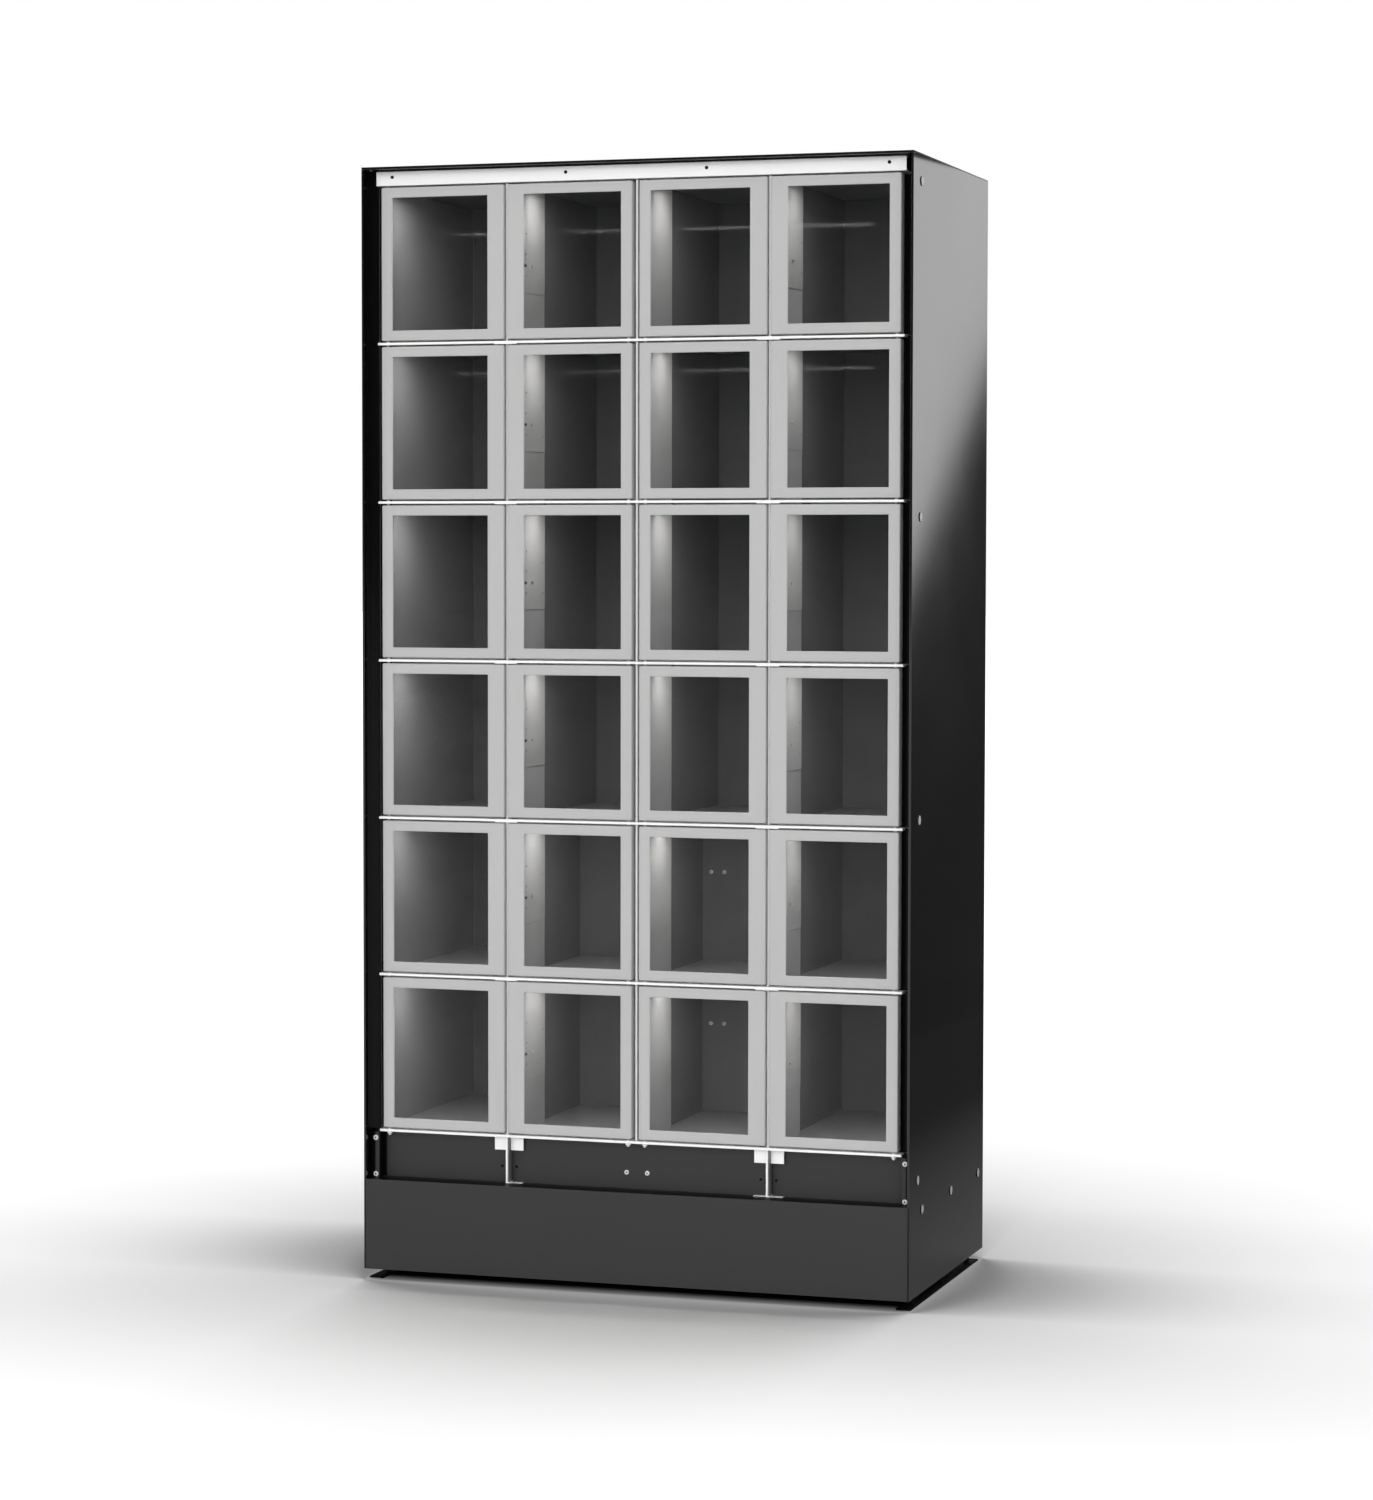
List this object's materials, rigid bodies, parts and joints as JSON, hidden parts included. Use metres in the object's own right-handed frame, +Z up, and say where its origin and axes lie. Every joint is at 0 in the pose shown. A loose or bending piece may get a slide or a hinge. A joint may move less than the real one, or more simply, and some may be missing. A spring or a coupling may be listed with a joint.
{
  "type": "vending locker",
  "caption": "Tall sheet-steel locker with a grid of windowed, side-hinged doors over a kick panel, for storing and handing out tools.",
  "frame": {"origin": "middle of the footprint, on the floor under the feet", "axes": "+Z up, -Y towards the doors, +X to the viewer's right when facing the doors"},
  "size_m": [1.003, 0.546, 1.97],
  "materials": {
    "shell_black": "black gloss powder coat",
    "plinth_charcoal": "charcoal satin powder coat",
    "shelf_white": "white satin powder coat",
    "partition_grey": "light grey satin powder coat",
    "door_grey": "light grey satin powder coat",
    "window_clear": "clear polished"
  },
  "bodies": {
    "cabinet": {"cabinet_wrap": "shell_black", "top_cap": "shell_black", "plinth": "plinth_charcoal", "floor_shelf": "shelf_white", "shelf_1": "shelf_white", "shelf_2": "shelf_white", "shelf_3": "shelf_white", "shelf_4": "shelf_white", "shelf_5": "shelf_white", "partition_left": "partition_grey", "partition_centre": "partition_grey", "partition_right": "partition_grey"},
    "leaf_r1_c1": {"door_r1_c1": "door_grey", "window_r1_c1": "window_clear"},
    "leaf_r1_c2": {"door_r1_c2": "door_grey", "window_r1_c2": "window_clear"},
    "leaf_r1_c3": {"door_r1_c3": "door_grey", "window_r1_c3": "window_clear"},
    "leaf_r1_c4": {"door_r1_c4": "door_grey", "window_r1_c4": "window_clear"},
    "leaf_r2_c1": {"door_r2_c1": "door_grey", "window_r2_c1": "window_clear"},
    "leaf_r2_c2": {"door_r2_c2": "door_grey", "window_r2_c2": "window_clear"},
    "leaf_r2_c3": {"door_r2_c3": "door_grey", "window_r2_c3": "window_clear"},
    "leaf_r2_c4": {"door_r2_c4": "door_grey", "window_r2_c4": "window_clear"},
    "leaf_r3_c1": {"door_r3_c1": "door_grey", "window_r3_c1": "window_clear"},
    "leaf_r3_c2": {"door_r3_c2": "door_grey", "window_r3_c2": "window_clear"},
    "leaf_r3_c3": {"door_r3_c3": "door_grey", "window_r3_c3": "window_clear"},
    "leaf_r3_c4": {"door_r3_c4": "door_grey", "window_r3_c4": "window_clear"},
    "leaf_r4_c1": {"door_r4_c1": "door_grey", "window_r4_c1": "window_clear"},
    "leaf_r4_c2": {"door_r4_c2": "door_grey", "window_r4_c2": "window_clear"},
    "leaf_r4_c3": {"door_r4_c3": "door_grey", "window_r4_c3": "window_clear"},
    "leaf_r4_c4": {"door_r4_c4": "door_grey", "window_r4_c4": "window_clear"},
    "leaf_r5_c1": {"door_r5_c1": "door_grey", "window_r5_c1": "window_clear"},
    "leaf_r5_c2": {"door_r5_c2": "door_grey", "window_r5_c2": "window_clear"},
    "leaf_r5_c3": {"door_r5_c3": "door_grey", "window_r5_c3": "window_clear"},
    "leaf_r5_c4": {"door_r5_c4": "door_grey", "window_r5_c4": "window_clear"},
    "leaf_r6_c1": {"door_r6_c1": "door_grey", "window_r6_c1": "window_clear"},
    "leaf_r6_c2": {"door_r6_c2": "door_grey", "window_r6_c2": "window_clear"},
    "leaf_r6_c3": {"door_r6_c3": "door_grey", "window_r6_c3": "window_clear"},
    "leaf_r6_c4": {"door_r6_c4": "door_grey", "window_r6_c4": "window_clear"}
  },
  "joints": [
    {"name": "hinge_r1_c1", "type": "hinge", "parent": "cabinet", "child": "leaf_r1_c1", "pos_m": [-0.4638, -0.2396, 1.80145], "axis": [0, 0, -1], "range_deg": [0, 110]},
    {"name": "hinge_r1_c2", "type": "hinge", "parent": "cabinet", "child": "leaf_r1_c2", "pos_m": [-0.0154, -0.2396, 1.80145], "axis": [0, 0, 1], "range_deg": [0, 90]},
    {"name": "hinge_r1_c3", "type": "hinge", "parent": "cabinet", "child": "leaf_r1_c3", "pos_m": [0.0154, -0.2396, 1.80145], "axis": [0, 0, -1], "range_deg": [0, 90]},
    {"name": "hinge_r1_c4", "type": "hinge", "parent": "cabinet", "child": "leaf_r1_c4", "pos_m": [0.4638, -0.2396, 1.80145], "axis": [0, 0, 1], "range_deg": [0, 110]},
    {"name": "hinge_r2_c1", "type": "hinge", "parent": "cabinet", "child": "leaf_r2_c1", "pos_m": [-0.4638, -0.2396, 1.52225], "axis": [0, 0, -1], "range_deg": [0, 110]},
    {"name": "hinge_r2_c2", "type": "hinge", "parent": "cabinet", "child": "leaf_r2_c2", "pos_m": [-0.0154, -0.2396, 1.52225], "axis": [0, 0, 1], "range_deg": [0, 90]},
    {"name": "hinge_r2_c3", "type": "hinge", "parent": "cabinet", "child": "leaf_r2_c3", "pos_m": [0.0154, -0.2396, 1.52225], "axis": [0, 0, -1], "range_deg": [0, 90]},
    {"name": "hinge_r2_c4", "type": "hinge", "parent": "cabinet", "child": "leaf_r2_c4", "pos_m": [0.4638, -0.2396, 1.52225], "axis": [0, 0, 1], "range_deg": [0, 110]},
    {"name": "hinge_r3_c1", "type": "hinge", "parent": "cabinet", "child": "leaf_r3_c1", "pos_m": [-0.4638, -0.2396, 1.24305], "axis": [0, 0, -1], "range_deg": [0, 110]},
    {"name": "hinge_r3_c2", "type": "hinge", "parent": "cabinet", "child": "leaf_r3_c2", "pos_m": [-0.0154, -0.2396, 1.24305], "axis": [0, 0, 1], "range_deg": [0, 90]},
    {"name": "hinge_r3_c3", "type": "hinge", "parent": "cabinet", "child": "leaf_r3_c3", "pos_m": [0.0154, -0.2396, 1.24305], "axis": [0, 0, -1], "range_deg": [0, 90]},
    {"name": "hinge_r3_c4", "type": "hinge", "parent": "cabinet", "child": "leaf_r3_c4", "pos_m": [0.4638, -0.2396, 1.24305], "axis": [0, 0, 1], "range_deg": [0, 110]},
    {"name": "hinge_r4_c1", "type": "hinge", "parent": "cabinet", "child": "leaf_r4_c1", "pos_m": [-0.4638, -0.2396, 0.96385], "axis": [0, 0, -1], "range_deg": [0, 110]},
    {"name": "hinge_r4_c2", "type": "hinge", "parent": "cabinet", "child": "leaf_r4_c2", "pos_m": [-0.0154, -0.2396, 0.96385], "axis": [0, 0, 1], "range_deg": [0, 90]},
    {"name": "hinge_r4_c3", "type": "hinge", "parent": "cabinet", "child": "leaf_r4_c3", "pos_m": [0.0154, -0.2396, 0.96385], "axis": [0, 0, -1], "range_deg": [0, 90]},
    {"name": "hinge_r4_c4", "type": "hinge", "parent": "cabinet", "child": "leaf_r4_c4", "pos_m": [0.4638, -0.2396, 0.96385], "axis": [0, 0, 1], "range_deg": [0, 110]},
    {"name": "hinge_r5_c1", "type": "hinge", "parent": "cabinet", "child": "leaf_r5_c1", "pos_m": [-0.4638, -0.2396, 0.68465], "axis": [0, 0, -1], "range_deg": [0, 110]},
    {"name": "hinge_r5_c2", "type": "hinge", "parent": "cabinet", "child": "leaf_r5_c2", "pos_m": [-0.0154, -0.2396, 0.68465], "axis": [0, 0, 1], "range_deg": [0, 90]},
    {"name": "hinge_r5_c3", "type": "hinge", "parent": "cabinet", "child": "leaf_r5_c3", "pos_m": [0.0154, -0.2396, 0.68465], "axis": [0, 0, -1], "range_deg": [0, 90]},
    {"name": "hinge_r5_c4", "type": "hinge", "parent": "cabinet", "child": "leaf_r5_c4", "pos_m": [0.4638, -0.2396, 0.68465], "axis": [0, 0, 1], "range_deg": [0, 110]},
    {"name": "hinge_r6_c1", "type": "hinge", "parent": "cabinet", "child": "leaf_r6_c1", "pos_m": [-0.4638, -0.2396, 0.40545], "axis": [0, 0, -1], "range_deg": [0, 110]},
    {"name": "hinge_r6_c2", "type": "hinge", "parent": "cabinet", "child": "leaf_r6_c2", "pos_m": [-0.0154, -0.2396, 0.40545], "axis": [0, 0, 1], "range_deg": [0, 90]},
    {"name": "hinge_r6_c3", "type": "hinge", "parent": "cabinet", "child": "leaf_r6_c3", "pos_m": [0.0154, -0.2396, 0.40545], "axis": [0, 0, -1], "range_deg": [0, 90]},
    {"name": "hinge_r6_c4", "type": "hinge", "parent": "cabinet", "child": "leaf_r6_c4", "pos_m": [0.4638, -0.2396, 0.40545], "axis": [0, 0, 1], "range_deg": [0, 110]}
  ]
}
